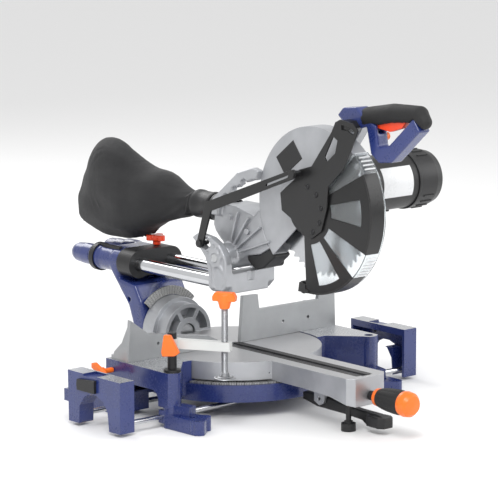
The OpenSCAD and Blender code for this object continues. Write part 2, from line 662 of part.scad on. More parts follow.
module support() color(blue) difference() {
    union() {
        slab_x(support_x, support_x + 33) difference() {
            polygon([[-114, 6], [-82, 6], [-78, 40], [-66, 58], [-44, 66], [-26, 66], [-10, 58], [4, 40],
                     [6, 6], [36, 6], [38, 101], [-114, 101]]);
        }
        box([support_x + 4, 30, 40], [support_x + 28, 56, 62]);
    }
    slab_x(support_x - 1, support_x + 27) difference() {
        box_plan([-108, 0], [32, 88]);
        box_plan([-82, 0], [6, 60]);
    }
    box([support_x + 4, -48, 97], [support_x + 34, -8, 102]);
    rod_along_x(support_x + 25, support_x + 40, 4 + fit, -4, 80);
    for (y = [rod_front, rod_rear]) rod_along_x(support_x - 5, support_x + 27, rod_d / 2, y, rod_z);
}
module support_left() mirror([1, 0, 0]) support();
module support_right() support();
module rods() color(steel) for (y = [rod_front, rod_rear]) rod_along_x(rod_in, support_x + 27, rod_d / 2, y, rod_z);
module rods_left() mirror([1, 0, 0]) rods();
module rods_right() rods();
module flip() color(black) {
    rod_along_x(support_x + 28, support_x + 38, 4, -4, 80);
    slab_x(support_x + 33.5, support_x + 39) polygon([[-46, 70], [4, 70], [6, 80], [4, 90], [-46, 94]]);
}
module flip_left() mirror([1, 0, 0]) flip();
module flip_right() flip();
module support_lock() color(orange) {
    rod_along_x(-286, -base_half - gap, 5, 42, 84);
    rod_along_x(-292, -284, 8, 42, 84);
    slab_x(-300, -290) polygon([[24, 74], [60, 90], [60, 99], [54, 100], [24, 86]]);
}

base_pan();
base_wings();
scale_ring();
fence_left();
fence_right();
fence_screws();
table_pivot();
turntable();
kerf_plates();
kerf_screws();
detent_lever();
levelling_foot();
handle_shaft();
handle_grip();
handle_ends();
bevel_pin();
yoke();
bevel_scale();
front_bushing();
cable_band();
bevel_lever();
slide_knob();
slide_rails();
rail_caps();
carriage();
pivot_shaft();
head_lock_pin();
head_arm();
under_cover();
gearcase();
upper_guard();
cover_plate();
cover_screws();
handle_frame();
handle_rubber();
trigger();
lock_button();
dust_port();
dust_bag();
motor_housing();
motor_end_cap();
brush_caps();
saw_blade();
spindle();
arbor_bolt();
guard_shell();
guard_star();
guard_link();
guard_roller();
clamp_post();
clamp_arm();
clamp_wing();
clamp_screw();
clamp_knob();
support_left();
support_right();
rods_left();
rods_right();
flip_left();
flip_right();
support_lock();
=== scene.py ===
# %% [markdown]
# # A sliding compound mitre saw
# The saw is already there as plain solids, in metres, with every moving part on a body of its own.
# This lesson gives it its looks: paint, castings, rubber, cloth and clear plastic, and the rounded,
# ribbed and folded shapes that plain solids can't have. X is the operator's right, Y points away from
# the operator and Z is up. The blade stands in the plane X = 0.

# %% Load the solids
import math
import bmesh
import bpy
from mathutils import Matrix, Vector, noise


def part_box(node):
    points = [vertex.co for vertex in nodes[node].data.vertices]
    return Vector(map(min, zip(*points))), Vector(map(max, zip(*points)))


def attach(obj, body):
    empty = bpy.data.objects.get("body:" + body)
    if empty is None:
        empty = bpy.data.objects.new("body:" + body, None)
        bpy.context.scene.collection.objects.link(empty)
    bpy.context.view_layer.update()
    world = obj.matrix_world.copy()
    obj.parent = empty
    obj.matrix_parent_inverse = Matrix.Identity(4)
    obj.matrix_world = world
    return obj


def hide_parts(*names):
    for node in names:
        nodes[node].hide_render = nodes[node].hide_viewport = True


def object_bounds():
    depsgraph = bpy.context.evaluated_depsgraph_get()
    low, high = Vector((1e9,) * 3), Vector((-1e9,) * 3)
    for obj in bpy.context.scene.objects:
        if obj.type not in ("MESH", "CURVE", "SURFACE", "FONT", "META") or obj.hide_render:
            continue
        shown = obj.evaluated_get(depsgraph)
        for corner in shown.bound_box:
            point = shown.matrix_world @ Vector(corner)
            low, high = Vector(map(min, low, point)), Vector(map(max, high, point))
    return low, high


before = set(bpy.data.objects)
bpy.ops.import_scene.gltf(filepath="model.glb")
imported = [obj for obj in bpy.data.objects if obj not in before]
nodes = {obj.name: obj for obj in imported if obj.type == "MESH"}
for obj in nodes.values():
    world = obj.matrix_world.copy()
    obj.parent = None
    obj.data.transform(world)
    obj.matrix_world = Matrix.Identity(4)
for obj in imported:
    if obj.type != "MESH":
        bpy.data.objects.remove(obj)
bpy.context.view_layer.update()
PIVOT = Vector((0, -0.011, 0.277))  # the head's hinge
BLADE = Vector((0, -0.245, 0.396))  # the blade's axis runs along X through here
MOTOR = Vector((0, -0.250, 0.428))  # and the motor's through here

# %% [markdown]
# ## Camera
# The saw is seen from its front left corner, from a little above the table. A long lens far away
# keeps the rails and the arm nearly parallel, as in a catalogue picture.

# %% Camera
AZIMUTH, ELEVATION = math.radians(-41.176), math.radians(10.216)
back = Vector((math.sin(AZIMUTH) * math.cos(ELEVATION), -math.cos(AZIMUTH) * math.cos(ELEVATION),
               math.sin(ELEVATION)))
lens = bpy.data.cameras.new("camera")
lens.lens, lens.sensor_width = 205.9, 36
lens.clip_start, lens.clip_end = 0.1, 60
camera = bpy.data.objects.new("camera", lens)
bpy.context.scene.collection.objects.link(camera)
camera.location = (-3.4816, -4.0211, 1.2423)
camera.rotation_euler = (-back).to_track_quat("-Z", "Y").to_euler()
bpy.context.scene.camera = camera
print("camera", [round(v, 2) for v in camera.location])

# %% [markdown]
# ## Small helpers for node trees
# Every finish below is a node tree. Three helpers keep them short: one wires a value or a socket into
# an input, one adds a Math node, and one starts a shader group with named inputs and outputs.


# %% Node helpers
def feed(tree, socket, value):
    """Links a socket, or sets a plain value."""
    if isinstance(value, bpy.types.NodeSocket):
        tree.links.new(value, socket)
    else:
        socket.default_value = value


def calc(tree, operation, a, b=0.0, c=0.0):
    """One Math node; returns its output."""
    node = tree.nodes.new("ShaderNodeMath")
    node.operation = operation
    for socket, value in zip(node.inputs, (a, b, c)):
        feed(tree, socket, value)
    return node.outputs[0]


def blend_colours(tree, share, a, b):
    """Mixes two colours by a mask."""
    node = tree.nodes.new("ShaderNodeMix")
    node.data_type = "RGBA"
    feed(tree, node.inputs[0], share)
    feed(tree, node.inputs[6], a)
    feed(tree, node.inputs[7], b)
    return node.outputs[2]


def smooth_range(tree, value, low, high, to_low=0.0, to_high=1.0):
    """Maps a value from one range to another with soft ends."""
    node = tree.nodes.new("ShaderNodeMapRange")
    node.interpolation_type = "SMOOTHSTEP"
    for i, v in enumerate((value, low, high, to_low, to_high)):
        feed(tree, node.inputs[i], v)
    return node.outputs[0]


def noise_at(tree, where, scale, detail=2.0, rough=0.5):
    """The factor of a Noise texture at a place."""
    node = tree.nodes.new("ShaderNodeTexNoise")
    feed(tree, node.inputs["Vector"], where)
    feed(tree, node.inputs["Scale"], scale)
    node.inputs["Detail"].default_value = detail
    node.inputs["Roughness"].default_value = rough
    return node.outputs["Fac"]


def new_group(name, inputs, outputs):
    """A shader group; inputs are (name, type, default) and outputs (name, type)."""
    group = bpy.data.node_groups.new(name, "ShaderNodeTree")
    for label, kind, default in inputs:
        socket = group.interface.new_socket(label, in_out="INPUT", socket_type="NodeSocket" + kind)
        socket.default_value = default
    for label, kind in outputs:
        group.interface.new_socket(label, in_out="OUTPUT", socket_type="NodeSocket" + kind)
    return group, group.nodes.new("NodeGroupInput").outputs, group.nodes.new("NodeGroupOutput").inputs


def use(tree, group, **values):
    """Places a group in a tree; an underscore in a name stands for a space."""
    node = tree.nodes.new("ShaderNodeGroup")
    node.node_tree = group
    for label, value in values.items():
        feed(tree, node.inputs[label.replace("_", " ")], value)
    return node.outputs


# %% [markdown]
# ## Soft edges and worn edges
# No real edge is a perfect corner: paint thins there and metal catches the light. A Bevel node looks
# at the surface nearby and rounds the shading. How far its normal leans from the true one also says
# where the edges are, which gives a mask for wear. Rounding every mesh would cost far more faces.

# %% Edge group
soft_edge, given, out = new_group(
    "soft edge", [("Radius", "Float", 0.0012), ("Broken Up", "Float", 220.0)],
    [("Normal", "Vector"), ("Worn", "Float")])
round_off = soft_edge.nodes.new("ShaderNodeBevel")
round_off.samples = 4
feed(soft_edge, round_off.inputs["Radius"], given["Radius"])
true_normal = soft_edge.nodes.new("ShaderNodeNewGeometry").outputs["Normal"]
lean = soft_edge.nodes.new("ShaderNodeVectorMath")
lean.operation = "DOT_PRODUCT"
feed(soft_edge, lean.inputs[0], round_off.outputs["Normal"])
feed(soft_edge, lean.inputs[1], true_normal)
place = soft_edge.nodes.new("ShaderNodeTexCoord").outputs["Object"]
edge = smooth_range(soft_edge, lean.outputs["Value"], 0.995, 0.86)
patchy = smooth_range(soft_edge, noise_at(soft_edge, place, given["Broken Up"], 3), 0.38, 0.62)
feed(soft_edge, out["Normal"], round_off.outputs["Normal"])
feed(soft_edge, out["Worn"], calc(soft_edge, "MULTIPLY", edge, patchy))

# %% [markdown]
# ## Grain
# Castings, moulded plastic and paint all have a fine grain, and a slow drift in tone and gloss over
# a hand's width. One group gives all three, and each finish picks its own size and strength.

# %% Grain group
grain, given, out = new_group(
    "grain", [("Fine", "Float", 900.0), ("Broad", "Float", 14.0), ("Gloss Low", "Float", 0.35),
              ("Gloss High", "Float", 0.5)],
    [("Height", "Float"), ("Tone", "Float"), ("Roughness", "Float")])
place = grain.nodes.new("ShaderNodeTexCoord").outputs["Object"]
fine = noise_at(grain, place, given["Fine"], 3, 0.6)
broad = noise_at(grain, place, given["Broad"], 4, 0.55)
feed(grain, out["Height"], fine)
feed(grain, out["Tone"], broad)
mixed = calc(grain, "ADD", calc(grain, "MULTIPLY", fine, 0.4), calc(grain, "MULTIPLY", broad, 0.6))
feed(grain, out["Roughness"], smooth_range(grain, mixed, 0.3, 0.7, given["Gloss Low"], given["Gloss High"]))

# %% [markdown]
# ## Machined faces
# The table, the wings and the supports are cast, painted and then milled flat on top, so only the
# face that points up at table height is bare bright metal. The mask takes the height and the upward
# normal of the mesh itself, so it stays on the part when the part moves.

# %% Machined top group
machined, given, out = new_group(
    "machined top", [("From", "Float", 0.1), ("To", "Float", 0.104), ("Rings", "Float", 2400.0)],
    [("Mask", "Float"), ("Height", "Float")])
where = machined.nodes.new("ShaderNodeTexCoord")
split = machined.nodes.new("ShaderNodeSeparateXYZ")
feed(machined, split.inputs[0], where.outputs["Object"])
facing = machined.nodes.new("ShaderNodeSeparateXYZ")
feed(machined, facing.inputs[0], where.outputs["Normal"])
above = calc(machined, "GREATER_THAN", split.outputs["Z"], given["From"])
below = calc(machined, "LESS_THAN", split.outputs["Z"], given["To"])
upward = calc(machined, "GREATER_THAN", facing.outputs["Z"], 0.95)
feed(machined, out["Mask"], calc(machined, "MULTIPLY", calc(machined, "MULTIPLY", above, below), upward))
square = [calc(machined, "MULTIPLY", split.outputs[i], split.outputs[i]) for i in (0, 1)]
radius = calc(machined, "SQRT", calc(machined, "ADD", *square))
feed(machined, out["Height"], calc(machined, "SINE", calc(machined, "MULTIPLY", radius, given["Rings"])))

# %% [markdown]
# ## Scale marks
# The mitre scale and the bevel scale are rings with a mark at each degree. The angle round the
# ring's own centre, taken modulo one step, is near zero on a mark. There are no figures on them.

# %% Scale marks group
marks, given, out = new_group(
    "scale marks", [("Across", "Float", 0.0), ("Up", "Float", 0.0), ("Step", "Float", 1.0),
                    ("Width", "Float", 0.18)], [("Mask", "Float")])
turn = calc(marks, "DEGREES", calc(marks, "ARCTAN2", given["Across"], given["Up"]))
for step, wide in ((1.0, 1.0), (5.0, 1.8)):
    phase = calc(marks, "PINGPONG", turn, calc(marks, "MULTIPLY", given["Step"], step / 2))
    line = calc(marks, "LESS_THAN", phase, calc(marks, "MULTIPLY", given["Width"], wide))
    drawn = line if step == 1.0 else calc(marks, "MAXIMUM", drawn, line)
feed(marks, out["Mask"], drawn)


# %% [markdown]
# ## A finish
# One function makes most finishes from the two groups: a base colour that drifts a little, gloss
# from the grain, a bump from the fine grain on top of the softened edge, and a paler worn edge.
# What is the same all over, such as the coat, is set on the shader itself.


# %% Finish function
def finish(name, colour, metal=0.0, gloss=(0.35, 0.5), fine=900.0, bump=0.05, worn=0.15, drift=0.12,
           edge=0.0012, coat=0.0, extra=None):
    material = bpy.data.materials.new(name)
    material.use_nodes = True
    tree = material.node_tree
    shader = tree.nodes["Principled BSDF"]
    texture = use(tree, grain, Fine=fine, Gloss_Low=gloss[0], Gloss_High=gloss[1])
    rim = use(tree, soft_edge, Radius=edge)
    dark = tuple(c * (1 - drift) for c in colour) + (1,)
    light = tuple(min(1, c * (1 + drift)) for c in colour) + (1,)
    tone = blend_colours(tree, smooth_range(tree, texture["Tone"], 0.3, 0.7), dark, light)
    bare = tuple(min(1, c * 1.6 + 0.10) for c in colour) + (1,)
    parts = {"colour": blend_colours(tree, calc(tree, "MULTIPLY", rim["Worn"], worn), tone, bare),
             "rough": texture["Roughness"], "height": texture["Height"], "metal": metal}
    if extra:
        extra(tree, parts)
    feed(tree, shader.inputs["Base Color"], parts["colour"])
    feed(tree, shader.inputs["Roughness"], parts["rough"])
    feed(tree, shader.inputs["Metallic"], parts["metal"])
    shader.inputs["Coat Weight"].default_value = coat
    shader.inputs["Coat Roughness"].default_value = 0.12
    relief = tree.nodes.new("ShaderNodeBump")
    relief.inputs["Strength"].default_value = bump
    relief.inputs["Distance"].default_value = 0.001
    feed(tree, relief.inputs["Height"], parts["height"])
    feed(tree, relief.inputs["Normal"], rim["Normal"])
    feed(tree, shader.inputs["Normal"], relief.outputs["Normal"])
    return material


# %% [markdown]
# ## Extra layers
# Some finishes add a layer of their own: a milled top, scale marks, lathe lines, or ridges such as a
# thread's. Each is a small function that changes the parts of a finish before they reach the shader.


# %% Extra layers
def milled(colour, low=0.0995, high=0.1045, rings=2400.0):
    def add(tree, parts):
        top = use(tree, machined, From=low, To=high, Rings=rings)
        parts["colour"] = blend_colours(tree, top["Mask"], parts["colour"], colour + (1,))
        parts["metal"] = smooth_range(tree, top["Mask"], 0, 1, parts["metal"], 0.75)
        cuts = calc(tree, "MULTIPLY", calc(tree, "MULTIPLY", top["Mask"], top["Height"]), 1.5)
        parts["height"] = calc(tree, "ADD", parts["height"], cuts)
    return add


def axes_of(tree, centre=(0, 0, 0)):
    """X, Y and Z from a centre."""
    node = tree.nodes.new("ShaderNodeMapping")
    node.inputs["Location"].default_value = [-c for c in centre]
    feed(tree, node.inputs["Vector"], tree.nodes.new("ShaderNodeTexCoord").outputs["Object"])
    split = tree.nodes.new("ShaderNodeSeparateXYZ")
    feed(tree, split.inputs[0], node.outputs[0])
    return split.outputs


def graduated(centre, across, up):
    def add(tree, parts):
        axes = axes_of(tree, centre)
        mask = use(tree, marks, Across=axes[across], Up=axes[up])["Mask"]
        parts["colour"] = blend_colours(tree, mask, parts["colour"], (0.02, 0.02, 0.02, 1))
    return add


def ringed(centre, first, second, rings, depth):
    """Lathe lines round an axis."""
    def add(tree, parts):
        axes = axes_of(tree, centre)
        square = [calc(tree, "MULTIPLY", axes[i], axes[i]) for i in (first, second)]
        radius = calc(tree, "SQRT", calc(tree, "ADD", *square))
        wave = calc(tree, "SINE", calc(tree, "MULTIPLY", radius, rings))
        parts["height"] = calc(tree, "ADD", parts["height"], calc(tree, "MULTIPLY", wave, depth))
    return add


def ridged(axis, pitch, depth, shade=0.0):
    """Ridges along an axis, such as a thread or grip ribs; with a shade given, the troughs get painted
    shade.
    """
    def add(tree, parts):
        wave = calc(tree, "SINE", calc(tree, "MULTIPLY", axes_of(tree)[axis], 2 * math.pi / pitch))
        parts["height"] = calc(tree, "ADD", parts["height"], calc(tree, "MULTIPLY", wave, depth))
        # With a shade given, the troughs are darkened towards black: painted shade in the grooves.
        if shade:
            low = smooth_range(tree, wave, -1.0, 0.2, shade, 0.0)
            parts["colour"] = blend_colours(tree, low, parts["colour"], (0.01, 0.01, 0.01, 1))
    return add


# %% [markdown]
# ## The finishes of the saw
# Navy gloss paint on the base and yoke, a pale shot-blasted look on the castings, black plastics and
# rubber, orange and red knobs, and several steels.

# %% Finishes
NAVY = (0.018, 0.032, 0.150)
PALE = (0.43, 0.44, 0.46)
paint = finish("navy_paint", NAVY, 0.0, (0.22, 0.34), 260, 0.10, 0.35, 0.10, coat=0.5)
paint_milled = finish("navy_paint_milled", NAVY, 0.0, (0.22, 0.34), 260, 0.10, 0.35, 0.10, coat=0.5,
                      extra=milled((0.46, 0.47, 0.49)))
casting = finish("pale_casting", PALE, 0.65, (0.34, 0.50), 700, 0.16, 0.30, 0.10, 0.0022)
table_metal = finish("table_metal", PALE, 0.65, (0.32, 0.46), 700, 0.12, 0.30, 0.10, 0.0018,
                     extra=milled((0.50, 0.50, 0.51), 0.1020, 0.1030))
fence_metal = finish("fence_metal", (0.36, 0.37, 0.38), 0.7, (0.30, 0.44), 500, 0.10, 0.35, 0.08, 0.0015,
                     extra=ridged(2, 0.0011, 0.15))
scale_metal = finish("mitre_scale", (0.46, 0.46, 0.46), 0.6, (0.35, 0.5), worn=0.1,
                     extra=graduated((0, 0, 0), 0, 1))
bevel_scale_metal = finish("bevel_scale", (0.62, 0.62, 0.61), 0.6, (0.35, 0.5), worn=0.1,
                           extra=graduated((0, 0, 0.1026), 0, 2))
plastic = finish("black_plastic", (0.010, 0.010, 0.011), 0.0, (0.34, 0.50), 1500, 0.25, 0.25, 0.15)
satin_plastic = finish("satin_black", (0.0075, 0.0075, 0.008), 0.0, (0.26, 0.38), 1200, 0.10, 0.30, 0.15)
rubber = finish("grip_rubber", (0.008, 0.008, 0.0085), 0.0, (0.55, 0.75), 2200, 0.45, 0.10, 0.2, 0.002)
insert = finish("dark_insert", (0.030, 0.030, 0.032), 0.0, (0.5, 0.65), 1500, 0.20, 0.3, 0.2, 0.0006)
orange = finish("orange_plastic", (0.95, 0.165, 0.008), 0.0, (0.26, 0.38), 1200, 0.10, 0.15, 0.08, 0.0016,
                coat=0.15)
red = finish("red_plastic", (0.85, 0.060, 0.012), 0.0, (0.26, 0.38), 1200, 0.10, 0.15, 0.08, 0.0014,
             coat=0.15)
chrome = finish("chromed_rail", (0.62, 0.63, 0.65), 1.0, (0.10, 0.17), 300, 0.02, 0.1, 0.04,
                extra=ridged(1, 0.0009, 0.10))
steel = finish("zinc_steel", (0.52, 0.53, 0.54), 0.95, (0.24, 0.36), 900, 0.06, 0.2, 0.08)
# The clamp screw's thread troughs get painted shade from the ridged layer.
threaded = finish("threaded_steel", (0.50, 0.51, 0.53), 0.95, (0.25, 0.36), 900, 0.5, 0.2, 0.08,
                  extra=ridged(2, 0.0018, 1.6, 0.6))
black_steel = finish("black_steel", (0.025, 0.025, 0.027), 0.6, (0.32, 0.45), 900, 0.08, 0.4, 0.12)
blade_steel = finish("blade_steel", (0.52, 0.53, 0.55), 1.0, (0.16, 0.26), 500, 0.08, 0.1, 0.06, 0.0004,
                     extra=ringed(BLADE, 1, 2, 3600.0, 0.5))
white = finish("white_paint", (0.60, 0.61, 0.60), 0.0, (0.28, 0.40), 400, 0.06, 0.1, 0.03, 0.0016, coat=0.2)
label_dark = finish("label_dark", (0.010, 0.010, 0.011), 0.0, (0.16, 0.24), 200, 0.02, 0.0, 0.05, 0.0003)
label_pale = finish("label_pale", (0.72, 0.73, 0.74), 0.0, (0.22, 0.32), 200, 0.02, 0.0, 0.04, 0.0003)
print("finishes:", len(bpy.data.materials))

# %% [markdown]
# ## Clear guard
# The lower guard is clear polycarbonate, a few millimetres thick, with fine scratches. Transmission
# lets the blade show through, and a light smoky tint keeps its outline readable.

# %% Clear plastic
clear = bpy.data.materials.new("clear_polycarbonate")
clear.use_nodes = True
tree = clear.node_tree
glass = tree.nodes["Principled BSDF"]
glass.inputs["Base Color"].default_value = (0.86, 0.90, 0.92, 1)
glass.inputs["Transmission Weight"].default_value = 0.92
glass.inputs["IOR"].default_value = 1.35
scuff = use(tree, grain, Fine=600.0, Broad=30.0, Gloss_Low=0.06, Gloss_High=0.26)
feed(tree, glass.inputs["Roughness"], scuff["Roughness"])
scratch = tree.nodes.new("ShaderNodeBump")
scratch.inputs["Strength"].default_value = 0.04
scratch.inputs["Distance"].default_value = 0.001
feed(tree, scratch.inputs["Height"], scuff["Height"])
feed(tree, glass.inputs["Normal"], scratch.outputs["Normal"])

# %% [markdown]
# ## Bag cloth
# The dust bag is black woven nylon: two crossed sets of threads, a soft sheen and a slow change of
# tone in the creases. The threads come from two sine waves, so no picture is needed.

# %% Cloth
cloth = bpy.data.materials.new("bag_cloth")
cloth.use_nodes = True
tree = cloth.node_tree
fabric = tree.nodes["Principled BSDF"]
axes = axes_of(tree)
threads = []
for axis in (1, 2):
    wave = calc(tree, "SINE", calc(tree, "MULTIPLY", axes[axis], 2 * math.pi / 0.0016))
    threads.append(calc(tree, "ABSOLUTE", wave))
weave = calc(tree, "MAXIMUM", *threads)
crease = noise_at(tree, tree.nodes.new("ShaderNodeTexCoord").outputs["Object"], 26.0, 4, 0.6)
tone = blend_colours(tree, smooth_range(tree, crease, 0.35, 0.65), (0.004, 0.004, 0.005, 1),
                     (0.009, 0.009, 0.010, 1))
feed(tree, fabric.inputs["Base Color"], blend_colours(tree, calc(tree, "MULTIPLY", weave, 0.35), tone,
                                                      (0.016, 0.016, 0.018, 1)))
feed(tree, fabric.inputs["Roughness"], smooth_range(tree, weave, 0, 1, 0.95, 0.72))
fabric.inputs["Sheen Weight"].default_value = 0.06
fabric.inputs["Sheen Roughness"].default_value = 0.5
relief = tree.nodes.new("ShaderNodeBump")
relief.inputs["Strength"].default_value = 0.35
relief.inputs["Distance"].default_value = 0.0006
feed(tree, relief.inputs["Height"], weave)
feed(tree, fabric.inputs["Normal"], relief.outputs["Normal"])

# %% [markdown]
# ## Which finish goes where
# Each solid gets one finish, also where a finer piece further down replaces it.

# %% Finish of each solid
WEARS = {
    paint_milled: "base_pan base_wings support_left support_right",
    paint: "yoke rail_caps handle_frame",
    casting: "carriage head_arm gearcase upper_guard",
    table_metal: "turntable",
    fence_metal: "fence_left fence_right",
    scale_metal: "scale_ring",
    bevel_scale_metal: "bevel_scale",
    plastic: "detent_lever levelling_foot cable_band bevel_lever under_cover dust_port motor_housing "
             "motor_end_cap front_bushing flip_left flip_right",
    satin_plastic: "cover_plate guard_star guard_link guard_roller head_lock_pin brush_caps",
    rubber: "handle_rubber handle_grip",
    insert: "kerf_plates",
    orange: "handle_ends lock_button clamp_wing clamp_knob support_lock",
    red: "slide_knob trigger",
    chrome: "slide_rails rods_left rods_right",
    steel: "table_pivot bevel_pin pivot_shaft spindle arbor_bolt",
    threaded: "clamp_screw",
    black_steel: "fence_screws kerf_screws handle_shaft cover_screws clamp_post",
    blade_steel: "saw_blade",
    white: "clamp_arm",
    clear: "guard_shell",
    cloth: "dust_bag",
}
for material, names in WEARS.items():
    for name in names.split():
        nodes[name].data.materials.clear()
        nodes[name].data.materials.append(material)
print("finished solids:", sum(len(names.split()) for names in WEARS.values()), "of", len(nodes))

# %% [markdown]
# ## Making a piece
# Every new piece is a mesh at the origin, unturned and unscaled, that rides on one body. These
# helpers turn a finished bmesh into such a piece, shade it smooth with crisp corners, and hide the
# solid it stands for.


# %% Piece helpers
def piece(name, bm, material, body, stands_for=(), sharp=35.0):
    """A bmesh becomes an object that rides on a body."""
    bmesh.ops.recalc_face_normals(bm, faces=bm.faces)
    for f in bm.faces:
        f.smooth = True
    for e in bm.edges:
        e.smooth = len(e.link_faces) == 2 and e.calc_face_angle(0) < math.radians(sharp)
    mesh = bpy.data.meshes.new(name)
    bm.to_mesh(mesh)
    bm.free()
    mesh.materials.append(material)
    made = bpy.data.objects.new(name, mesh)
    bpy.context.scene.collection.objects.link(made)
    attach(made, body)
    if stands_for:
        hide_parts(*([stands_for] if isinstance(stands_for, str) else stands_for))
    print(name, len(mesh.polygons), "faces")
    return made


def along_x(x, y, z):
    """Turns something made along Z so that it points along +X, at a place."""
    return Matrix.Translation((x, y, z)) @ Matrix.Rotation(math.pi / 2, 4, "Y")


def along_y(x, y, z):
    """Turns something made along Z so that it points along +Y, at a place."""
    return Matrix.Translation((x, y, z)) @ Matrix.Rotation(-math.pi / 2, 4, "X")


def block(bm, low, high, width=0.0, segments=2):
    """A box between two corners, with its edges rounded."""
    low, high = Vector(low), Vector(high)
    made = bmesh.ops.create_cube(bm, size=1, matrix=Matrix.Translation((low + high) / 2)
                                 @ Matrix.Diagonal((*(high - low), 1)))
    if width:
        edges = list({e for v in made["verts"] for e in v.link_edges})
        bmesh.ops.bevel(bm, geom=edges, offset=width, offset_type="OFFSET", segments=segments,
                        profile=0.5, affect="EDGES", clamp_overlap=True, material=-1)


def turned(bm, profile, where, steps=48):
    """Spins a profile of (height, radius) round Z, then moves it; tagged points are already in place."""
    line = [bm.verts.new((r, 0, h)) for h, r in profile]
    edges = [bm.edges.new(pair) for pair in zip(line, line[1:])]
    bmesh.ops.spin(bm, geom=line + edges, cent=(0, 0, 0), axis=(0, 0, 1), steps=steps,
                   angle=2 * math.pi, use_merge=True, use_duplicate=False)
    bmesh.ops.remove_doubles(bm, verts=[v for v in bm.verts if not v.tag], dist=1e-6)
    verts = [v for v in bm.verts if not v.tag]
    bmesh.ops.transform(bm, matrix=where, verts=verts)
    for v in verts:
        v.tag = True


def stamp(bm, part, where):
    """Adds a copy of a small bmesh at a place, tagged as already there."""
    mesh = bpy.data.meshes.new("stamp")
    part.to_mesh(mesh)
    mesh.transform(where)
    before = set(bm.verts)
    bm.from_mesh(mesh)
    for v in set(bm.verts) - before:
        v.tag = True
    bpy.data.meshes.remove(mesh)


def about_x(centre, degrees):
    """Turns about the line along X through a centre, after moving there."""
    return Matrix.Translation(centre) @ Matrix.Rotation(math.radians(degrees), 4, "X")


def welded(node):
    """A merged copy of a solid's mesh, with flat areas made whole faces again."""
    bm = bmesh.new()
    bm.from_mesh(nodes[node].data)
    bmesh.ops.remove_doubles(bm, verts=bm.verts, dist=2e-5)
    bmesh.ops.dissolve_limit(bm, angle_limit=math.radians(0.5), use_dissolve_boundaries=False,
                             verts=bm.verts, edges=bm.edges)
    return bm


# %% [markdown]
# ## Soft castings
# Sand castings and moulded handles have no hard corners at all. Rebuilding the merged solid from
# small voxels and then relaxing the surface a few times rounds every edge and fills every inner
# corner by about the size of a voxel, just as a mould does.


# %% Soft casting
def soft_casting(node, body, material, voxel, passes=4):
    """A voxel-built, relaxed copy of a solid, standing for it."""
    bm = welded(node)
    mesh = bpy.data.meshes.new("draft")
    bm.to_mesh(mesh)
    bm.free()
    draft = bpy.data.objects.new("draft", mesh)
    bpy.context.scene.collection.objects.link(draft)
    remesh = draft.modifiers.new("voxels", "REMESH")
    remesh.mode, remesh.voxel_size = "VOXEL", voxel
    graph = bpy.context.evaluated_depsgraph_get()
    bm = bmesh.new()
    bm.from_mesh(bpy.data.meshes.new_from_object(draft.evaluated_get(graph)))
    bpy.data.objects.remove(draft)
    for _ in range(passes):
        bmesh.ops.smooth_vert(bm, verts=bm.verts, factor=0.5, use_axis_x=True, use_axis_y=True,
                              use_axis_z=True)
    piece(node + "_cast", bm, material, body, node, sharp=60)


soft_casting("head_arm", "head", casting, 0.0022)
soft_casting("carriage", "carriage", casting, 0.0020)
soft_casting("gearcase", "head", casting, 0.0020)
soft_casting("handle_frame", "head", paint, 0.0016)
soft_casting("handle_rubber", "head", rubber, 0.0018, 5)
soft_casting("under_cover", "head", plastic, 0.0016)
soft_casting("yoke", "bevel_arm", paint, 0.0026, 3)
soft_casting("clamp_knob", "clamp_screw", orange, 0.0010, 5)
soft_casting("clamp_wing", "clamp_wing", orange, 0.0009, 5)
soft_casting("slide_knob", "slide_knob", red, 0.0009, 5)
soft_casting("support_lock", "support_lock", orange, 0.0009, 4)
soft_casting("trigger", "trigger", red, 0.0008, 4)
soft_casting("bevel_lever", "bevel_lever", plastic, 0.0012, 5)
soft_casting("detent_lever", "detent_lever", plastic, 0.0012, 4)

# %% [markdown]
# ## Ribs of the head arm
# The casting between the pivot and the upper guard is thin, with ribs that stand proud and run from
# the pivot boss to the guard. Each is a slim block turned about the pivot, so a few angles and
# lengths are all it takes.

# %% Arm ribs
bm = bmesh.new()
for angle, start, end in ((108, 0.030, 0.092), (126, 0.030, 0.098),
                          (144, 0.030, 0.112), (160, 0.034, 0.122)):
    rib = bmesh.new()
    block(rib, (-0.0300, start, -0.0020), (-0.0195, end, 0.0020), 0.0012)
    stamp(bm, rib, about_x(PIVOT, angle))
    rib.free()
turned(bm, [(-0.0268, 0.0), (-0.0268, 0.0055), (-0.0262, 0.0062), (-0.0215, 0.0064), (-0.0215, 0.0)],
       along_x(0, -0.062, 0.330), 20)
turned(bm, [(-0.0268, 0.0), (-0.0268, 0.0050), (-0.0262, 0.0056), (-0.0215, 0.0058), (-0.0215, 0.0)],
       along_x(0, -0.012, 0.352), 20)
piece("arm_ribs", bm, casting, "head")

# %% [markdown]
# ## Slotted rim of the lower guard
# The clear guard's outer wall has a comb of cross bars that stiffen it and let dust out. One bar
# is a rounded block at the rim, and copies of it are turned about the blade's axis.

# %% Rim bars
FIRST, LAST, BARS = 138, 270, 46  # degrees round the blade, and how many bars fill that stretch
STAR_LOOPS = ((150, 205), (226, 274))  # degrees over which the black star covers the rim
CLEAR_ENDS = (148, 206, 225)  # bars are left out between the first two, and past the third
bm = bmesh.new()
bar = bmesh.new()
block(bar, (-0.021, 0.1566, -0.0014), (0.0045, 0.1592, 0.0014), 0.0006, 1)
for number in range(BARS):
    turn = FIRST + (LAST - FIRST) * number / (BARS - 1)
    if not (CLEAR_ENDS[0] < turn < CLEAR_ENDS[1] or turn > CLEAR_ENDS[2]):
        stamp(bm, bar, about_x(BLADE, turn))
bar.free()
piece("guard_rim_bars", bm, label_pale, "lower_guard")

# %% [markdown]
# The black star wraps over the rim beside its two loops. A short profile spun through part of a turn
# about the blade's axis makes each strip, and giving it a thickness makes it a wall.

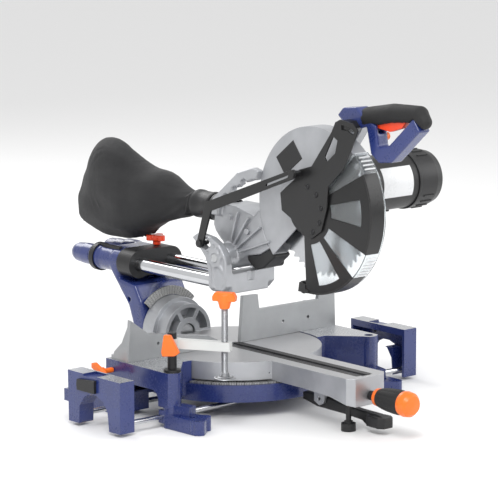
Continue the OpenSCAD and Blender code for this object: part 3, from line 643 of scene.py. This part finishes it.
# %% Star's rim strips
bm = bmesh.new()
for start, end in STAR_LOOPS:
    line = [bm.verts.new(p) for p in ((-0.0282, 0.1540, 0), (-0.0282, 0.1574, 0), (0.0040, 0.1574, 0))]
    line_edges = [bm.edges.new(pair) for pair in zip(line, line[1:])]
    bmesh.ops.rotate(bm, verts=line, cent=(0, 0, 0), matrix=Matrix.Rotation(math.radians(start), 3, "X"))
    bmesh.ops.spin(bm, geom=line + line_edges, cent=(0, 0, 0), axis=(1, 0, 0), steps=28,
                   angle=math.radians(end - start), use_merge=False, use_duplicate=False)
bmesh.ops.recalc_face_normals(bm, faces=bm.faces)
bmesh.ops.solidify(bm, geom=bm.faces[:], thickness=0.0014)
bmesh.ops.translate(bm, verts=bm.verts, vec=BLADE)
piece("star_rim", bm, satin_plastic, "lower_guard")

# %% [markdown]
# ## Labels
# The upper guard carries a dark plate and the motor a pale one. Both are blank. The flat plate on the
# guard is a rounded block; the motor's follows the housing, so it is a spun strip with a thickness.

# %% Blank labels
bm = bmesh.new()
block(bm, (-0.0228, -0.207, 0.462), (-0.0218, -0.148, 0.502), 0.0004, 1)
bmesh.ops.rotate(bm, verts=bm.verts, cent=(-0.022, -0.178, 0.482),
                 matrix=Matrix.Rotation(math.radians(-38), 3, "X"))
piece("guard_label", bm, label_dark, "head")
bm = bmesh.new()
strip = [bm.verts.new((x, 0, 0.0522)) for x in (0.100, 0.175)]
edge_line = bm.edges.new(strip)
bmesh.ops.spin(bm, geom=[*strip, edge_line], cent=(0, 0, 0), axis=(1, 0, 0), steps=16,
               angle=math.radians(64), use_merge=False, use_duplicate=False)
bmesh.ops.solidify(bm, geom=bm.faces[:], thickness=-0.0005)
bmesh.ops.transform(bm, verts=bm.verts, matrix=about_x(MOTOR, 50))
piece("motor_label", bm, label_pale, "head")

# %% [markdown]
# ## Motor housing
# The motor's end has low ribs round it, left out on the side facing the operator, and two low turned
# rings go round the shell. The ribs are slim rounded blocks set round the motor's axis.

# %% Motor ribs and rings
RIB_PLACES = [number for number in range(24) if not 3 <= number <= 7]
bm = bmesh.new()
rib = bmesh.new()
block(rib, (0.206, -0.0016, 0.0515), (0.233, 0.0016, 0.0560), 0.0007, 1)
for number in RIB_PLACES:
    stamp(bm, rib, about_x(MOTOR, 360 * number / 24))
rib.free()
for at in (0.068, 0.190):
    turned(bm, [(at, 0.0505), (at, 0.0540), (at + 0.001, 0.0548), (at + 0.005, 0.0548),
                (at + 0.006, 0.0540), (at + 0.006, 0.0505), (at, 0.0505)], along_x(0, MOTOR.y, MOTOR.z), 72)
piece("motor_ribs", bm, plastic, "head")

# %% [markdown]
# ## Screws
# Five screws hold the cover plate. Each head is a turned dome with a shallow hollow in its middle.

# %% Cover screws
bm = bmesh.new()
for angle in (100, 135, 170, 205, 240):
    a = math.radians(angle)
    y, z = BLADE.y + 0.044 * math.cos(a), BLADE.z + 0.044 * math.sin(a)
    turned(bm, [(-0.0485, 0.0), (-0.0485, 0.0020), (-0.0478, 0.0040), (-0.0462, 0.0050), (-0.0440, 0.0030),
                (-0.0440, 0.0)], along_x(0, y, z), 24)
piece("cover_screw_heads", bm, black_steel, "head", "cover_screws")

# %% [markdown]
# ## Mitre handle
# The handle's soft sleeve has twelve shallow flutes. It starts as a turned profile, and its side is
# then drawn in a little along each flute.

# %% Fluted grip
FLUTES = 12
bm = bmesh.new()
turned(bm, [(0.0, 0.0052), (0.0, 0.0165), (0.003, 0.0176), (0.009, 0.0193), (0.020, 0.0210), (0.031, 0.0219),
            (0.042, 0.0228), (0.051, 0.0229), (0.058, 0.0222), (0.060, 0.0210), (0.060, 0.0052),
            (0.0, 0.0052)], Matrix.Identity(4), 72)
for v in bm.verts:
    reach = math.hypot(v.co.x, v.co.y)
    if reach > 0.017 and 0.004 < v.co.z < 0.057:
        flute = max(0.0, math.cos(FLUTES * math.atan2(v.co.y, v.co.x))) ** 2
        v.co.xy *= 1 - 0.055 * flute
bmesh.ops.transform(bm, verts=bm.verts, matrix=Matrix.Translation((0, -0.401, 0.068))
                    @ Matrix.Rotation(math.pi / 2, 4, "X"))
piece("fluted_grip", bm, rubber, "mitre_handle", "handle_grip", sharp=50)

# %% [markdown]
# ## Dust bag
# The bag is a sleeve of cloth on a collar, and its far end slants and is closed. It starts as rings
# bridged along its length, and a short cloth simulation with a little air pressure lets it swell
# and crease. The collar end is pinned, and no point may move more than nine millimetres.

# %% Bag sleeve
bag_low, bag_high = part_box("dust_bag")
BAG_X = (bag_low.x + bag_high.x) / 2
RINGS = [  # y and z of the bottom and the top, and half the width, in millimetres
    (112, 333, 112, 383, 25), (157, 329, 156, 393, 30), (203, 321, 206, 413, 36),
    (240, 307, 246, 420, 41), (262, 285, 280, 429, 45), (312, 264, 325, 452, 46),
    (362, 262, 370, 467, 42), (418, 268, 404, 469, 34), (462, 274, 430, 450, 23),
    (496, 284, 456, 414, 12), (508, 303, 478, 382, 6)]
bm = bmesh.new()
previous = None
for y0, z0, y1, z1, half in RINGS:
    low, high = Vector((BAG_X, y0 / 1000, z0 / 1000)), Vector((BAG_X, y1 / 1000, z1 / 1000))
    tall = (high - low) / 2
    wide = Vector((half / 1000, 0, 0))
    across = wide.cross(tall).normalized()
    shape = Matrix((wide, tall, across)).transposed().to_4x4()
    ring = bmesh.ops.create_circle(bm, segments=40, radius=1,
                                   matrix=Matrix.Translation((low + high) / 2) @ shape)["verts"]
    edges = list({e for v in ring for e in v.link_edges if e.other_vert(v) in ring})
    if previous:
        bmesh.ops.bridge_loops(bm, edges=previous + edges)
    else:
        first = ring
    previous = edges
bmesh.ops.contextual_create(bm, geom=previous)
bmesh.ops.contextual_create(bm, geom=first)
bmesh.ops.recalc_face_normals(bm, faces=bm.faces)
sleeve = bpy.data.meshes.new("sleeve")
bm.to_mesh(sleeve)
bm.free()
sleeve_object = bpy.data.objects.new("sleeve", sleeve)
bpy.context.scene.collection.objects.link(sleeve_object)
rounding = sleeve_object.modifiers.new("round", "SUBSURF")
rounding.levels = rounding.render_levels = 1
even = sleeve_object.modifiers.new("even", "REMESH")
even.mode, even.voxel_size = "VOXEL", 0.0045
graph = bpy.context.evaluated_depsgraph_get()
bag_mesh = bpy.data.meshes.new_from_object(sleeve_object.evaluated_get(graph))
bpy.data.objects.remove(sleeve_object)
print("bag sleeve", len(bag_mesh.polygons), "faces")

# %% [markdown]
# Long folds run along the bag from its collar. Moves along the surface normal, driven by noise
# stretched along the bag, start those folds, and the simulation then settles them.

# %% Bag folds and settling
MOST = 0.009  # a point may move this far
bag = bpy.data.objects.new("dust_bag_cloth", bag_mesh)
bpy.context.scene.collection.objects.link(bag)
hold = bag.vertex_groups.new(name="hold")
for v in bag_mesh.vertices:
    gathered = max(0.0, min(1.0, (v.co.y - 0.13) / 0.09))
    folds = noise.noise(Vector((v.co.x * 34, v.co.y * 5, v.co.z * 26)))
    dents = noise.noise(Vector((v.co.x * 16 + 7, v.co.y * 15, v.co.z * 13)))
    v.co += v.normal * gathered * (0.0075 * folds + 0.0050 * dents - 0.001)
    hold.add([v.index], 1.0 if v.co.y < 0.128 else 0.0, "REPLACE")
before = [v.co.copy() for v in bag_mesh.vertices]
air = bag.modifiers.new("air", "CLOTH")
air.settings.quality = 5
air.settings.mass = 0.2
air.settings.use_pressure = True
air.settings.uniform_pressure_force = 1.2
air.settings.vertex_group_mass = "hold"
air.settings.shrink_min = -0.03
air.settings.effector_weights.gravity = 0.25
scene = bpy.context.scene
for number in range(1, 17):
    scene.frame_set(number)
graph = bpy.context.evaluated_depsgraph_get()
after = [v.co.copy() for v in bag.evaluated_get(graph).data.vertices]
bag.modifiers.remove(air)
for v, a, b in zip(bag_mesh.vertices, before, after):
    step = b - a
    v.co = a + (step if step.length < MOST else step.normalized() * MOST)
scene.frame_set(1)
bag.vertex_groups.clear()
finer = bag.modifiers.new("finer", "SUBSURF")
finer.levels = finer.render_levels = 1
for polygon in bag_mesh.polygons:
    polygon.use_smooth = True
bag_mesh.materials.clear()
bag_mesh.materials.append(cloth)
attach(bag, "dust_bag")
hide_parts("dust_bag")

# %% [markdown]
# The rigid collar grips the dust port. It is a turned ring with a bead at each end.

# %% Bag collar
bm = bmesh.new()
PORT_Z = 0.358
turned(bm, [(0.066, 0.0226), (0.066, 0.0262), (0.069, 0.0272), (0.073, 0.0272), (0.075, 0.0258),
            (0.106, 0.0258), (0.109, 0.0272), (0.117, 0.0272), (0.119, 0.0255), (0.119, 0.0228),
            (0.066, 0.0226)], along_y(BAG_X, 0, PORT_Z))
piece("bag_collar", bm, plastic, "dust_bag")

# %% [markdown]
# ## Floor and light
# A pale floor and a pale world keep the light even. A large soft panel from the front left and above
# gives the rails and edges their highlights, and a weaker one on the right fills the shade.

# %% Floor and light
bm = bmesh.new()
bmesh.ops.create_grid(bm, x_segments=1, y_segments=1, size=14)
floor_mesh = bpy.data.meshes.new("floor")
bm.to_mesh(floor_mesh)
bm.free()
floor = bpy.data.objects.new("floor", floor_mesh)
floor.location.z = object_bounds()[0].z - 0.0005
bpy.context.scene.collection.objects.link(floor)
pale = bpy.data.materials.new("floor_pale")
pale.use_nodes = True
pale.node_tree.nodes["Principled BSDF"].inputs["Base Color"].default_value = (0.86, 0.86, 0.86, 1)
pale.node_tree.nodes["Principled BSDF"].inputs["Roughness"].default_value = 0.85
floor_mesh.materials.append(pale)

world = bpy.data.worlds.new("studio")
world.use_nodes = True
world.node_tree.nodes["Background"].inputs["Color"].default_value = (1, 1, 1, 1)
world.node_tree.nodes["Background"].inputs["Strength"].default_value = 0.85
bpy.context.scene.world = world
bpy.context.scene.view_settings.view_transform = "Standard"


def panel(name, place, size, power):
    """A square soft light aimed at the middle of the saw."""
    light = bpy.data.lights.new(name, "AREA")
    light.size, light.energy = size, power
    lamp = bpy.data.objects.new(name, light)
    lamp.location = place
    lamp.rotation_euler = (Vector((0, 0, 0.25)) - Vector(place)).to_track_quat("-Z", "Y").to_euler()
    bpy.context.scene.collection.objects.link(lamp)


panel("key", (-1.6, -1.6, 2.6), 1.4, 60)
panel("fill", (2.2, -1.6, 1.4), 1.6, 22)
panel("rim", (0.4, 2.4, 2.2), 1.6, 34)
